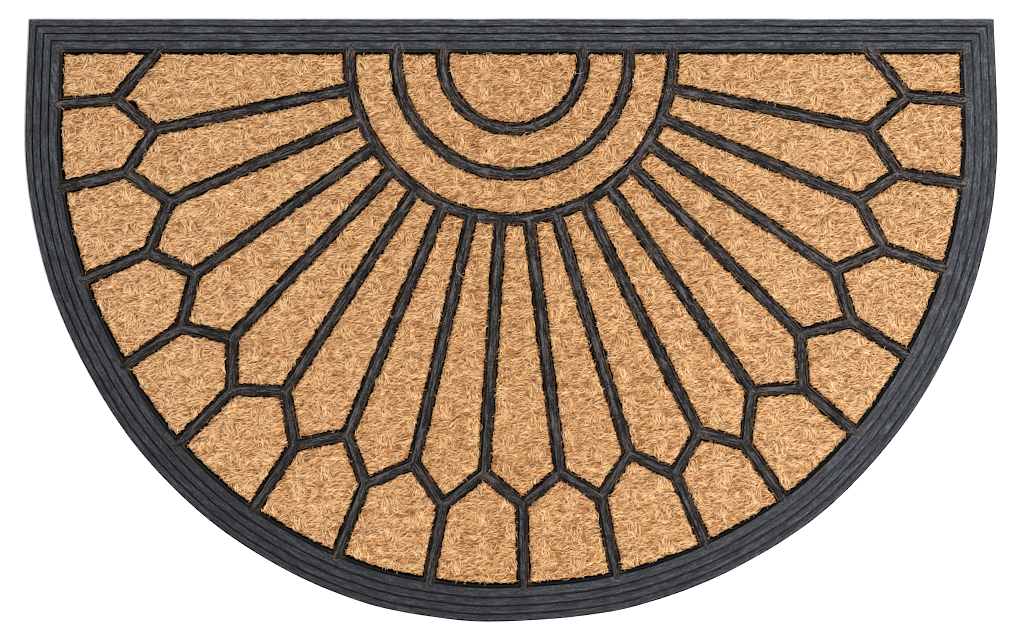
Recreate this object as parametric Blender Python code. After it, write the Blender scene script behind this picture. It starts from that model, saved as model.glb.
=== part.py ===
"""Half-round doormat: one rubber moulding with coir panels laid in its pockets.

The moulding is a flat base sheet with a stepped border all round and raised ribs that divide
the inside into a sunburst: a half disc and two rings at the middle of the straight edge, rays
that end in pointed tips, and a rim of small panels between the tips and the border. Each
pocket holds its own panel of woven coir. The straight edge is towards +Y and the round one
towards -Y, the floor is z = 0, and the origin is the middle of the footprint.
"""

import math

import bmesh
import bpy
from mathutils import Vector

MM = 0.001

# Overall size, in millimetres. Plan positions are measured from the middle of the front curve.
WIDTH = 750.0
STRAIGHT_EDGE_Y = 91.2
STRAIGHT_EDGE_WIDTH = 744.6
OUTLINE_STEP_DEG = 3

# Heights above the floor.
BASE_HEIGHT = 2.0
LEDGE_HEIGHT = 5.0
RUBBER_HEIGHT = 8.0
COIR_HEIGHT = 9.0

# Width of the border from its outer edge to the inner edge of its top step.
BORDER_STRAIGHT = 23.1
BORDER_SIDE = 24.7
BORDER_FRONT = 26.2
BORDER_BLEND_DEG = 30.0

# The border's steps: how far in a step starts, as a share of the border's width, and its height.
BORDER_STEPS = (
    # starts, height
    (0.0, 2.5),
    (0.24, 4.3),
    (0.485, 6.2),
    (0.737, RUBBER_HEIGHT),
)
EDGE_CHAMFER = 0.4
GROOVE_WIDTH = 0.9
GROOVE_DEPTH = 0.6
RISER_LEAN = 0.25

# How far the front curve bulges out of a true half circle, going round from the right side.
FRONT_WANDER = (
    # degrees, out
    (0, 0.4),
    (22, -0.2),
    (40, 0.0),
    (50, 0.9),
    (62, -0.4),
    (74, -0.8),
    (86, -2.0),
    (97, -0.2),
    (108, 1.6),
    (126, 1.4),
    (140, 0.2),
    (151, -1.6),
    (165, -0.9),
    (180, 0.4),
)

# The middles of the three curved ribs, from the half disc out to the hub of the rays.
ARCS = (
    # centre x, centre y, radius
    (0.9, 60.7, 54.2),
    (0.6, 61.5, 89.7),
    (-0.6, 61.7, 124.7),
)
HUB = ARCS[-1]
# How far a straight piece of an arc may lie inside the true curve.
ARC_SAG = 0.12

# The fan of ribs is laid out by angle and reach from this point, going round from the right.
FAN_CENTRE = Vector((0.0, 67.1))
SPOKES = (
    # angle at the hub, angle at the outer end, reach of the outer end
    (166.6, 167.5, 282.6),
    (155.6, 156.2, 288.0),
    (145.0, 144.8, 299.0),
    (135.2, 134.2, 309.4),
    (124.7, 123.6, 315.5),
    (114.0, 113.2, 322.0),
    (103.7, 103.3, 327.0),
    (93.9, 93.7, 326.0),
    (84.1, 83.4, 327.4),
    (74.8, 73.7, 323.5),
    (64.4, 63.9, 327.6),
    (54.5, 54.8, 321.6),
    (43.8, 44.5, 312.1),
    (34.1, 34.2, 301.0),
    (24.2, 23.3, 291.2),
    (13.6, 12.4, 282.4),
)
RAY_TIPS = (
    # angle of the tip, reach of the tip, angle where its rib meets the border
    (173.0, 307.5, 173.3),
    (162.4, 312.1, 163.1),
    (151.0, 320.7, 151.8),
    (140.1, 332.5, 140.9),
    (129.5, 339.3, 130.3),
    (118.8, 347.2, 119.4),
    (108.7, 353.1, 109.1),
    (98.6, 354.6, 98.9),
    (88.7, 350.8, 88.7),
    (78.7, 351.3, 78.7),
    (68.9, 350.3, 68.5),
    (59.3, 353.0, 58.7),
    (49.1, 343.5, 48.0),
    (38.5, 335.5, 37.6),
    (28.0, 325.7, 26.7),
    (17.6, 312.8, 16.4),
    (6.6, 307.2, 6.3),
)
# Where the first and last slanting ribs meet the border of the straight edge.
LEFT_RIB_X = -272.4
RIGHT_RIB_X = 275.5

# Walls of a pocket, from above the rubber's top down to the base sheet.
POCKET_WALL = (
    # height, distance from a rib's middle, distance from the border's inner edge
    (RUBBER_HEIGHT + 1.0, 1.5, -1.0),
    (RUBBER_HEIGHT - EDGE_CHAMFER, 2.9, 0.4),
    (LEDGE_HEIGHT, 2.9, 0.4),
    (LEDGE_HEIGHT, 4.7, 2.6),
    (BASE_HEIGHT, 4.7, 2.6),
)

# Side of a coir panel, from just above the base sheet up to its rounded rim.
LAID_GAP = 0.3
PANEL_ROUNDING = 0.6
PANEL_SIDE = (
    # height, distance from a rib's middle, distance from the border's inner edge
    (BASE_HEIGHT + LAID_GAP, 5.2, 4.0),
    (COIR_HEIGHT - PANEL_ROUNDING, 5.2, 4.0),
    (COIR_HEIGHT, 5.8, 4.6),
)

RIB = "rib"
BORDER = "border"
# Edges that turn less than this are moved in together, along the direction between them.
NEARLY_STRAIGHT = math.cos(math.radians(20))
# How many straight pieces a rim panel has along the border.
BORDER_PIECES = 4

# Linear colours of the two materials.
RUBBER_COLOUR = (0.050, 0.055, 0.065)
COIR_COLOUR = (0.62, 0.34, 0.16)


def clear_scene():
    for old in list(bpy.context.scene.objects):
        bpy.data.objects.remove(old, do_unlink=True)


def matte(name, colour, roughness):
    """A plain material without gloss."""
    material = bpy.data.materials.new(name)
    material.use_nodes = True
    shader = material.node_tree.nodes["Principled BSDF"]
    shader.inputs["Base Color"].default_value = (*colour, 1.0)
    shader.inputs["Roughness"].default_value = roughness
    shader.inputs["Metallic"].default_value = 0.0
    return material


def polar(centre, angle, reach):
    """The point at that angle, clockwise from +X, and that reach from the centre."""
    turn = math.radians(angle)
    return centre + Vector((math.cos(turn), -math.sin(turn))) * reach


def front_wander(angle):
    """How far the front curve bulges out at that angle, eased from row to row."""
    for (start, out), (end, next_out) in zip(FRONT_WANDER, FRONT_WANDER[1:]):
        if angle <= end:
            share = (angle - start) / (end - start)
            return out + (next_out - out) * (1 - math.cos(math.pi * share)) / 2
    return FRONT_WANDER[-1][1]


def mat_outline():
    """The mat's outer edge, anticlockwise from the right end of the straight edge."""
    half = STRAIGHT_EDGE_WIDTH / 2
    outline = [Vector((half, STRAIGHT_EDGE_Y)), Vector((-half, STRAIGHT_EDGE_Y))]
    for angle in range(180, -1, -OUTLINE_STEP_DEG):
        outline.append(polar(Vector((0, 0)), angle, WIDTH / 2 + front_wander(angle)))
    return outline


def border_width(start, end):
    """The border's width along one edge of the outline."""
    if min(start.y, end.y) > STRAIGHT_EDGE_Y - 1:
        return BORDER_STRAIGHT
    middle = (start + end) / 2
    below = max(0.0, math.degrees(math.atan2(-middle.y, abs(middle.x))))
    share = min(1.0, below / BORDER_BLEND_DEG)
    return BORDER_SIDE + (BORDER_FRONT - BORDER_SIDE) * share


def inward(start, end):
    """The unit vector to the left of an edge, which is into an anticlockwise loop."""
    along = (end - start).normalized()
    return Vector((-along.y, along.x))


def inset(loop, distances):
    """The closed loop moved inwards, the edge after each point by that point's distance."""
    moved = []
    for i, here in enumerate(loop):
        first = inward(loop[i - 1], here)
        second = inward(here, loop[(i + 1) % len(loop)])
        by_first, by_second = distances[i - 1], distances[i]
        if first.dot(second) > NEARLY_STRAIGHT:
            middle = (first + second).normalized()
            moved.append(here + middle * (by_first + by_second) / 2 / middle.dot(first))
            continue
        turn = first.x * second.y - first.y * second.x
        across = by_first * second.y - by_second * first.y
        up = by_second * first.x - by_first * second.x
        moved.append(here + Vector((across, up)) / turn)
    return moved


def border_loop(outline, share):
    """The loop that lies that share of the border's width inside the outline."""
    ends = outline[1:] + outline[:1]
    return inset(outline, [share * border_width(a, b) for a, b in zip(outline, ends)])


def crossing(loop, angle):
    """The point where a line from the fan's centre at that angle meets the loop."""
    aim = polar(Vector((0, 0)), angle, 1.0)
    side = Vector((-aim.y, aim.x))
    for start, end in zip(loop, loop[1:] + loop[:1]):
        off_start = (start - FAN_CENTRE).dot(side)
        off_end = (end - FAN_CENTRE).dot(side)
        if off_start * off_end > 0 or off_start == off_end:
            continue
        point = start + (end - start) * off_start / (off_start - off_end)
        if (point - FAN_CENTRE).dot(aim) > 0:
            return point
    raise ValueError("no crossing at %.1f degrees" % angle)


def along_border(loop, start_angle, end_angle):
    """Points on the loop between the two angles, without the last one."""
    step = (end_angle - start_angle) / BORDER_PIECES
    return [crossing(loop, start_angle + step * i) for i in range(BORDER_PIECES)]


def on_hub(angle):
    """The angle round the hub's centre at which a line at that fan angle meets the hub."""
    x, y, radius = HUB
    aim = polar(Vector((0, 0)), angle, 1.0)
    offset = FAN_CENTRE - Vector((x, y))
    along = offset.dot(aim)
    reach = -along + math.sqrt(along * along - offset.dot(offset) + radius * radius)
    point = offset + aim * reach
    return math.degrees(math.atan2(-point.y, point.x))


def arc(circle, start, end):
    """Points on a circle from one angle round its centre to the other, ends included."""
    x, y, radius = circle
    step = 2 * math.degrees(math.acos(1 - ARC_SAG / radius))
    pieces = max(1, round(abs(end - start) / step))
    turn = (end - start) / pieces
    return [polar(Vector((x, y)), start + turn * i, radius) for i in range(pieces + 1)]


def above_level(circle, top):
    """How many degrees above the level through its centre a circle reaches the height top."""
    _, y, radius = circle
    return math.degrees(math.asin((top - y) / radius))


def half_turn(circle, top):
    """The part of a circle below the height top, from left to right."""
    above = above_level(circle, top)
    return arc(circle, 180 + above, -above)


def cell(points, border_from=()):
    """A pocket's loop along rib middles, with the kind of the edge after each point."""
    return points, [BORDER if i in border_from else RIB for i in range(len(points))]


def centre_cells(top):
    """The half disc and the two rings, each cut off by the straight border at height top."""
    disc = half_turn(ARCS[0], top)
    cells = {"coir_half_disc": cell(disc, (len(disc) - 1,))}
    for name, inner, outer in zip(("inner", "outer"), ARCS, ARCS[1:]):
        outside = half_turn(outer, top)
        points = outside + half_turn(inner, top)[::-1]
        cells["coir_ring_" + name] = cell(points, (len(outside) - 1, len(points) - 1))
    return cells


def ray_cells(top, ends, tips):
    """The rays between the hub and the zigzag, from left to right."""
    above = above_level(HUB, top)
    bounds = [180 + above] + [on_hub(row[0]) for row in SPOKES] + [-above]
    corners = [Vector((LEFT_RIB_X, top))] + ends + [Vector((RIGHT_RIB_X, top))]
    cells = {}
    for i, tip in enumerate(tips):
        points = [corners[i], tip, corners[i + 1]] + arc(HUB, bounds[i + 1], bounds[i])
        border_from = ()
        if i == 0:
            border_from = (len(points) - 1,)
        if i == len(tips) - 1:
            border_from = (2,)
        cells["coir_ray_%02d" % (i + 1)] = cell(points, border_from)
    return cells


def rim_cells(inner, ends, tips):
    """The rim panels between the zigzag and the border, from left to right."""
    right_corner, left_corner = inner[0], inner[1]
    top = left_corner.y
    rim_angles = [row[2] for row in RAY_TIPS]
    first = [Vector((LEFT_RIB_X, top)), left_corner, crossing(inner, rim_angles[0]), tips[0]]
    cells = {"coir_rim_01": cell(first, (0, 1))}
    for i, apex in enumerate(ends):
        bottom = along_border(inner, rim_angles[i], rim_angles[i + 1])
        bottom.append(crossing(inner, rim_angles[i + 1]))
        points = bottom + [tips[i + 1], apex, tips[i]]
        cells["coir_rim_%02d" % (i + 2)] = cell(points, range(BORDER_PIECES))
    last = [crossing(inner, rim_angles[-1]), right_corner, Vector((RIGHT_RIB_X, top)), tips[-1]]
    cells["coir_rim_%02d" % (len(tips) + 1)] = cell(last, (0, 1))
    return cells


def narrowed(the_cell, rib_distance, border_distance):
    """A pocket's loop moved in from the rib middles and from the border's inner edge."""
    points, kinds = the_cell
    by_kind = {RIB: rib_distance, BORDER: border_distance}
    return inset(points, [by_kind[kind] for kind in kinds])


def add_levels(shape, levels, origin):
    """Adds to the shape a closed body that runs through loops given as (height, loop)."""
    rings = []
    for height, loop in levels:
        places = [Vector((p.x, p.y, height)) - origin for p in loop]
        rings.append([shape.verts.new(place * MM) for place in places])
    for lower, upper in zip(rings, rings[1:]):
        for i in range(len(lower)):
            shape.faces.new((lower[i - 1], lower[i], upper[i], upper[i - 1]))
    shape.faces.new(rings[0][::-1])
    shape.faces.new(rings[-1])


def new_object(name, shape, origin, material):
    """An object made from the shape, standing at its origin."""
    bmesh.ops.recalc_face_normals(shape, faces=shape.faces)
    mesh = bpy.data.meshes.new(name)
    shape.to_mesh(mesh)
    shape.free()
    if material:
        mesh.materials.append(material)
    made = bpy.data.objects.new(name, mesh)
    made.location = origin * MM
    bpy.context.scene.collection.objects.link(made)
    return made


def border_levels(outline):
    """The moulding's outside: up the edge, over the steps and their grooves to the top."""
    levels = [(0.0, outline), (BORDER_STEPS[0][1] - EDGE_CHAMFER, outline)]
    levels.append((BORDER_STEPS[0][1], border_loop(outline, EDGE_CHAMFER / BORDER_SIDE)))
    groove = GROOVE_WIDTH / BORDER_SIDE
    lean = RISER_LEAN / BORDER_SIDE
    for (_, low), (share, high) in zip(BORDER_STEPS, BORDER_STEPS[1:]):
        levels.append((low, border_loop(outline, share - groove)))
        levels.append((low - GROOVE_DEPTH, border_loop(outline, share - groove + lean)))
        levels.append((low - GROOVE_DEPTH, border_loop(outline, share)))
        levels.append((high, border_loop(outline, share + lean)))
    return levels


def make_moulding(outline, cells, origin, material):
    """The rubber: a stepped plateau with the pockets cut down to the base sheet."""
    plateau = bmesh.new()
    add_levels(plateau, border_levels(outline), origin)
    moulding = new_object("rubber_moulding", plateau, origin, material)

    pockets = bmesh.new()
    for the_cell in cells.values():
        walls = [(height, narrowed(the_cell, rib, edge)) for height, rib, edge in POCKET_WALL]
        add_levels(pockets, walls[::-1], origin)
    cutter = new_object("pocket_cutter", pockets, origin, None)
    cutter.hide_render = True
    cutter.display_type = "WIRE"

    cut = moulding.modifiers.new("Pockets", "BOOLEAN")
    cut.operation = "DIFFERENCE"
    cut.solver = "EXACT"
    cut.object = cutter
    return moulding


def make_panel(name, the_cell, material):
    """One coir panel, as wide as its pocket allows and a little higher than the ribs."""
    levels = [(height, narrowed(the_cell, rib, edge)) for height, rib, edge in PANEL_SIDE]
    top = levels[-1][1]
    middle = sum(top, Vector((0, 0))) / len(top)
    origin = Vector((middle.x, middle.y, 0))
    shape = bmesh.new()
    add_levels(shape, levels, origin)
    return new_object(name, shape, origin, material)


def main():
    clear_scene()
    rubber = matte("rubber", RUBBER_COLOUR, 0.7)
    coir = matte("coir", COIR_COLOUR, 0.95)

    outline = mat_outline()
    inner = border_loop(outline, 1.0)
    top = inner[0].y
    ends = [polar(FAN_CENTRE, row[1], row[2]) for row in SPOKES]
    tips = [polar(FAN_CENTRE, row[0], row[1]) for row in RAY_TIPS]
    cells = centre_cells(top)
    cells.update(ray_cells(top, ends, tips))
    cells.update(rim_cells(inner, ends, tips))

    across = [p.x for p in outline]
    deep = [p.y for p in outline]
    middle = Vector((max(across) + min(across), max(deep) + min(deep), 0)) / 2
    mat = bpy.data.objects.new("doormat", None)
    bpy.context.scene.collection.objects.link(mat)
    mat.location = -middle * MM

    pieces = [make_moulding(outline, cells, Vector((0, 0, 0)), rubber)]
    pieces += [make_panel(name, the_cell, coir) for name, the_cell in cells.items()]
    for piece in pieces:
        piece.parent = mat
        for modifier in piece.modifiers:
            modifier.object.parent = mat


main()
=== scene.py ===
"""Looks of the half-round doormat: the rubber moulding, the woven coir panels and their fibres.

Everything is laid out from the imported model. Lengths are in millimetres until a mesh is made.
"""

import math

import bpy
import numpy as np
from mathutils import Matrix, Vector
from mathutils.geometry import delaunay_2d_cdt


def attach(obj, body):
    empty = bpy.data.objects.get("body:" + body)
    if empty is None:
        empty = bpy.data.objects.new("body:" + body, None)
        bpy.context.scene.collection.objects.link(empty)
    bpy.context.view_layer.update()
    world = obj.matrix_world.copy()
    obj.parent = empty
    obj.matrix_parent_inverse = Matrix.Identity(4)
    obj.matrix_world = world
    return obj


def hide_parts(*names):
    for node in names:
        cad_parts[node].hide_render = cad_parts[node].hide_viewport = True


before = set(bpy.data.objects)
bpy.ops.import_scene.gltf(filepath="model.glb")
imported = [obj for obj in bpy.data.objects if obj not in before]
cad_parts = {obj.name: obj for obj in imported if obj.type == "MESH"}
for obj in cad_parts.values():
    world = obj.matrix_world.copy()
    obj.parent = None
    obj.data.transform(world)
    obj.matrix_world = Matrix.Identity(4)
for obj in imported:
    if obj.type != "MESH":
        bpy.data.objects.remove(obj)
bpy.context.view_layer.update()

MM = 0.001
BODY = "root"
MOULDING = "rubber_moulding"
PANELS = sorted(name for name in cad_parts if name.startswith("coir_"))

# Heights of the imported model's level faces.
FLOOR_OF_POCKET = 2.0
LEDGE = 5.0
UPPER_WALL = 6.0
RUBBER_TOP = 8.0
PANEL_BOTTOM = 2.3
STEP_HEIGHTS = (2.5, 4.3, 6.2, RUBBER_TOP)
WIDEST_BORDER = 30.0
GROOVE_DEPTH = 0.6

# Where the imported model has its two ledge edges, from the middle of a rib.
WALL_FROM_MIDDLE = 2.9
LEDGE_END_FROM_MIDDLE = 4.7

# Section of the rubber from near the middle of a rib down into a pocket. Its shades are painted light
# and shade that scale the rubber's colour, darkest in the gap at a wall's foot.
RIB_SECTION = (
    # from the rib's middle, height, shade beside a rib, shade beside the border, coir dust
    (0.8, 7.62, 0.43, 0.95, 0.22),
    (1.3, 7.7, 0.4, 0.95, 0.27),
    (1.75, 7.92, 0.33, 1.0, 0.34),
    (2.1, 7.98, 0.35, 0.85, 0.5),
    (2.4, 7.86, 0.42, 0.5, 0.8),
    (2.6, 7.5, 0.34, 0.3, 1.0),
    (2.74, 7.0, 0.17, 0.12, 1.0),
    (2.84, 5.25, 0.15, 0.08, 1.0),
    (3.15, 5.0, 0.5, 0.13, 1.0),
    (4.05, 5.0, 0.51, 0.16, 1.0),
    (4.5, 4.9, 0.26, 0.1, 1.0),
    (4.74, FLOOR_OF_POCKET, 0.1, 0.1, 1.0),
)
# Section of one band of the border, from its rounded outer edge to the groove at its inner edge. Its
# shade is painted light and shade: dark in the grooves, paler on the rounded edge.
BAND_SECTION = (
    # measured from, inwards, height above the band, shade
    ("outer", -0.14, -0.4, 0.3),
    ("outer", 0.02, -0.14, 0.5),
    ("outer", 0.3, 0.0, 1.1),
    ("middle", 0.0, -0.08, 1.0),
    ("inner", -0.35, 0.0, 1.05),
    ("inner", -0.05, -0.1, 0.7),
    ("groove start", 0.0, -GROOVE_DEPTH, 0.3),
    ("groove end", 0.0, -GROOVE_DEPTH, 0.25),
)
# Where the border faces the light, its grooves and inner wall are paler and the coir reaches further.
LIT_WAY = np.array((0.94, -0.34))
LIT_GROOVE = 0.55
LIT_WALL = 0.5
LIT_REACH = 0.9
FAN_CENTRE = np.array((0.0, 208.4))
DUST_TINT = (1.5, 0.8, 0.43)
RIB_UNEVENNESS = 4.2
RUBBER_STREAKS = (
    # features per metre along, per mm across, weight
    (70.0, 0.85, 0.33),
    (240.0, 2.0, 0.29),
)
RUBBER_GRAIN = (
    # features per metre, detail, roughness, weight
    (800.0, 3.0, 0.75, 0.33),
    (34.0, 4.0, 0.6, 0.05),
)
# Painted light: how much paler the rubber is painted towards the right and the straight edge, and its
# level in the middle.
LIGHT_PAINTED_TO_RIGHT = 0.38
LIGHT_PAINTED_TO_BACK = 1.2
LIGHT_PAINTED_IN_MIDDLE = 0.86
RUBBER_STOPS = (
    # unevenness, colour
    (0.37, (0.004, 0.0042, 0.0055)),
    (0.5, (0.024, 0.0262, 0.0315)),
    (0.63, (0.10, 0.11, 0.128)),
    (0.76, (0.19, 0.20, 0.225)),
)
RUBBER_STEP = 5.0
TOP_SHARE = 0.62
SHARP_TURN_DEG = 20.0
WANDER = 0.16
WANDER_SIZE = 28.0
UNEVEN_HEIGHT = 0.05
# Tells one side of a rib from the other, so that its streaks differ on the two.
SIDE_WAY = np.array((1.0, 0.3))

# The weave: from one warp stitch to the next on the row below, to the right and to the left.
STITCH_TO_RIGHT = np.array((24.15, -11.6))
STITCH_TO_LEFT = np.array((-22.6, -12.65))
ONE_STITCH = np.array((-12.0, 30.0))
STITCH_HALF_WIDTH = 6.8
STITCH_HALF_HEIGHT = 5.5
WEFT_ANGLE = 13.0
WARP_ANGLE = 102.0

# The cloth under the fibres.
CLOTH_TOP = 8.0
CLOTH_RELIEF = 0.8
CLOTH_STEP = 3.0
CLOTH_EDGE_STEP = 1.8
CLOTH_ROWS = (
    # inwards, share of the ragged edge that is followed, height
    (0.3, 0.9, PANEL_BOTTOM),
    (0.2, 1.0, CLOTH_TOP - 0.7),
    (0.85, 1.0, CLOTH_TOP - 0.15),
)
FRAYED_BY = 0.45
NICKED_BY = 1.6
MOST_OUTWARDS = 0.5
MOST_TO_LIGHT = 0.8
MOST_INWARDS = 5.4
BITES = (
    # x, y, reach, depth
    (-291.8, 167.6, 4.4, 2.8),
    (292.0, 170.2, 4.5, 2.4),
)

# The fibres.
FIBRE_LAYERS = (
    # per square mm, mean length, radius, points along each, raised by, darkened by
    (0.4, 7.6, 0.215, 3, 0.0, 0.0),
    (0.185, 9.6, 0.18, 4, 0.35, 0.0),
    # Painted shade: short dark strokes on top, mostly over the pits, stand in for the shadowed gaps
    # between fibres.
    (0.06, 3.8, 0.2, 3, 1.0, 1.0),
)
OVERHANG = (-0.1, 1.25)
FIBRE_LOFT = 0.8
FIBRE_ARCH = 0.35
SUNK_IN_PITS = 0.7
SUNK_INTO_CLOTH = 0.25
LOWER_AT_EDGE = 0.45
FIBRE_SPREAD_DEG = 22.0
STRAY_SHARE = 0.12
HAIR_SPACING = 3.8
HAIR_LENGTH = (1.4, 3.0)
HAIR_RADIUS = (0.14, 0.25)
HAIR_POINTS = 3
LONG_CURLS = 4
CURL_LENGTH = (9, 24)
CURL_TURNING = (0.08, 0.26)
CURL_RADIUS = (0.1, 0.14)
CURL_POINTS = 14

# How light a fibre is, from 0 to 1.
TONE_MEAN = 0.79
TONE_SPREAD = 0.12
# Painted shade: lower fibres and the hollows of the weave are given darker tones.
TONE_BY_LIFT = 0.14
TONE_BY_RELIEF = 0.13
TONE_FIELDS = (
    # weight, size, seed
    (0.04, 2.4, 41),
    (0.04, 9.0, 42),
    (0.03, 70.0, 44),
)
TONE_AT_EDGE = 0.06
# Painted shade: fibres over the pits of the weave are darker.
TONE_IN_PITS = -0.13
DARK_SHARE = 0.1
DARKER_BY = 0.42
YELLOWISH = (
    # tone, colour
    (0.0, (0.05, 0.016, 0.004)),
    (0.3, (0.52, 0.25, 0.078)),
    (0.55, (0.83, 0.495, 0.207)),
    (0.8, (0.96, 0.637, 0.3)),
    (1.0, (1.0, 0.715, 0.39)),
)
PINKISH = (
    # tone, colour
    (0.0, (0.05, 0.015, 0.004)),
    (0.3, (0.55, 0.235, 0.08)),
    (0.55, (0.85, 0.475, 0.212)),
    (0.8, (0.97, 0.612, 0.312)),
    (1.0, (1.0, 0.7, 0.41)),
)
# The woven ground's own brown, made darker than the fibres as painted shade for the gaps between them.
GROUND_STOPS = (
    # unevenness, colour
    (0.35, (0.1, 0.03, 0.007)),
    (0.65, (0.42, 0.175, 0.054)),
)

# Side of the grid of random numbers under each smooth field.
GRID = 256
LEVEL_WITHIN = 0.02
LIGHTS = (
    # name, place in metres, size in metres, power in watts
    ("key", (1.25, -1.15, 2.4), 1.3, 110.0),
    ("fill", (-1.2, 1.1, 2.6), 2.0, 20.0),
)
ROOM_LIGHT = 0.62
WIDTH_IN_VIEW = 0.7901
LENS, SENSOR = 600.0, 36.0
SHARPENING = 0.095


def noise(x, y, size, seed):
    """A smooth random field from -1 to 1 whose features are about that size."""
    grid = np.random.default_rng(seed).uniform(-1, 1, (GRID, GRID))
    u = np.asarray(x) / size + GRID
    v = np.asarray(y) / size + GRID
    i = np.floor(u).astype(int)
    j = np.floor(v).astype(int)
    s = u - i
    t = v - j
    s = s * s * (3 - 2 * s)
    t = t * t * (3 - 2 * t)
    i0, i1, j0, j1 = i % GRID, (i + 1) % GRID, j % GRID, (j + 1) % GRID
    low = grid[i0, j0] * (1 - s) + grid[i1, j0] * s
    high = grid[i0, j1] * (1 - s) + grid[i1, j1] * s
    return low * (1 - t) + high * t


def level_loops(node, height, facing=1):
    """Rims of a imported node's level faces at a height, as loops of plan points."""
    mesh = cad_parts[node].data
    merged = {}
    number = []
    for vertex in mesh.vertices:
        key = tuple(round(value / MM, 3) for value in vertex.co)
        number.append(merged.setdefault(key, len(merged)))
    places = list(merged)
    following = {}
    edges = set()
    for face in mesh.polygons:
        corners = [number[i] for i in face.vertices]
        level = all(abs(places[i][2] - height) < LEVEL_WITHIN for i in corners)
        if level and face.normal.z * facing > 0.98:
            edges.update(zip(corners, corners[1:] + corners[:1]))
    for start, end in edges:
        if (end, start) not in edges:
            following[start] = end
    loops = []
    while following:
        at = next(iter(following))
        loop = []
        while at in following:
            loop.append(places[at][:2])
            at = following.pop(at)
        loops.append(np.array(loop))
    return loops


def signed_area(loop):
    x, y = loop.T
    return 0.5 * float(np.sum(x * np.roll(y, -1) - y * np.roll(x, -1)))


def anticlockwise(loop):
    return loop if signed_area(loop) > 0 else loop[::-1]


def outward_ways(loop):
    """Unit ways out of an anticlockwise loop at each of its points."""
    way = np.roll(loop, -1, axis=0) - np.roll(loop, 1, axis=0)
    return np.stack((way[:, 1], -way[:, 0]), 1) / np.hypot(*way.T)[:, None]


def matched(loop, others):
    """The loop among the others with as many points and the nearest middle, started alike."""
    alike = [other for other in others if len(other) == len(loop)]
    nearest = min(alike, key=lambda other: np.hypot(*(other.mean(0) - loop.mean(0))))
    start = int(np.argmin(np.hypot(*(nearest - loop[0]).T)))
    return np.roll(nearest, -start, axis=0)


def turns(loop):
    """The angle by which a loop turns at each of its points, in degrees."""
    before = loop - np.roll(loop, 1, axis=0)
    after = np.roll(loop, -1, axis=0) - loop
    cross = before[:, 0] * after[:, 1] - before[:, 1] * after[:, 0]
    return np.degrees(np.abs(np.arctan2(cross, (before * after).sum(1))))


def refined(loops, step):
    """The same loops with a point about every step, curved where the first one turns little."""
    guide = loops[0]
    lengths = np.hypot(*(np.roll(guide, -1, axis=0) - guide).T)
    parts = np.maximum(1, np.round(lengths / step)).astype(int)
    soft = turns(guide) < SHARP_TURN_DEG
    edge = np.repeat(np.arange(len(guide)), parts)
    first = np.repeat(np.cumsum(parts) - parts, parts)
    share = ((np.arange(len(edge)) - first) / parts[edge])[:, None]
    result = []
    for loop in loops:
        chord = np.roll(loop, -1, axis=0) - loop
        long = np.hypot(*chord.T)[:, None]
        way = chord / long
        mean_way = way + np.roll(way, 1, axis=0)
        mean_way /= np.hypot(*mean_way.T)[:, None]
        leaving = np.where(soft[:, None], mean_way, way) * long
        arriving = np.where(np.roll(soft, -1)[:, None], np.roll(mean_way, -1, axis=0), way) * long
        s = share
        result.append(
            loop[edge] * (2 * s**3 - 3 * s**2 + 1)
            + leaving[edge] * (s**3 - 2 * s**2 + s)
            + np.roll(loop, -1, axis=0)[edge] * (3 * s**2 - 2 * s**3)
            + arriving[edge] * (s**3 - s**2)
        )
    return result


def inside_by(points, loop):
    """How far each point lies inside a loop, negative outside it."""
    start, end = loop, np.roll(loop, -1, axis=0)
    run = end - start
    away = points[:, None, :] - start[None]
    share = np.clip((away * run).sum(-1) / (run * run).sum(-1), 0, 1)
    far = np.sqrt(((away - share[..., None] * run) ** 2).sum(-1)).min(1)
    above = start[:, 1][None] > points[:, 1:2]
    spans = above != (end[:, 1][None] > points[:, 1:2])
    rise = np.where(np.abs(run[:, 1]) < 1e-9, 1e-9, run[:, 1])
    meets = start[:, 0] + (points[:, 1:2] - start[:, 1]) / rise * run[:, 0]
    crossed = (spans & (points[:, :1] < meets)).sum(1)
    return np.where(crossed % 2 == 1, far, -far)


def fill(plan, rim, holes=()):
    """Triangles over plan points, inside the rim and outside the holes, as rows of indices."""
    walls = []
    for loop in (rim, *(hole[::-1] for hole in holes)):
        walls += list(zip(loop.tolist(), np.roll(loop, -1).tolist()))
    result = delaunay_2d_cdt([Vector(point) for point in plan], walls, [], 0, 1e-5, True)
    source = [found[0] for found in result[3]]
    faces = [tuple(source[i] for i in face) for face in result[2]]
    beside = {}
    for number, (a, b, c) in enumerate(faces):
        beside.update({(a, b): number, (b, c): number, (c, a): number})
    kept = {beside[wall] for wall in walls}
    closed = {*walls, *((end, start) for start, end in walls)}
    open_ends = list(kept)
    while open_ends:
        a, b, c = faces[open_ends.pop()]
        for start, end in ((a, b), (b, c), (c, a)):
            other = beside.get((end, start))
            if other is not None and other not in kept and (start, end) not in closed:
                kept.add(other)
                open_ends.append(other)
    return np.array([faces[number] for number in sorted(kept)])


def strips(rows, size):
    """Triangles between neighbouring rows of indices, each a closed ring of that size."""
    faces = []
    for one, other in zip(rows, rows[1:]):
        a = one + np.arange(size)
        b = one + (np.arange(size) + 1) % size
        c = other + (np.arange(size) + 1) % size
        d = other + np.arange(size)
        faces += [np.stack((a, b, c), 1), np.stack((a, c, d), 1)]
    return np.concatenate(faces)


class Surface:
    """Points, triangles and the values kept at the points, gathered part by part."""

    def __init__(self):
        self.points = []
        self.faces = []
        self.values = {}
        self.count = 0

    def add_points(self, points, **values):
        start = self.count
        self.points.append(points)
        for name, value in values.items():
            self.values.setdefault(name, []).append(np.broadcast_to(value, len(points)))
        self.count += len(points)
        return start

    def add_faces(self, faces):
        self.faces.append(faces)

    def plan(self):
        return np.concatenate(self.points)[:, :2]


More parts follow.
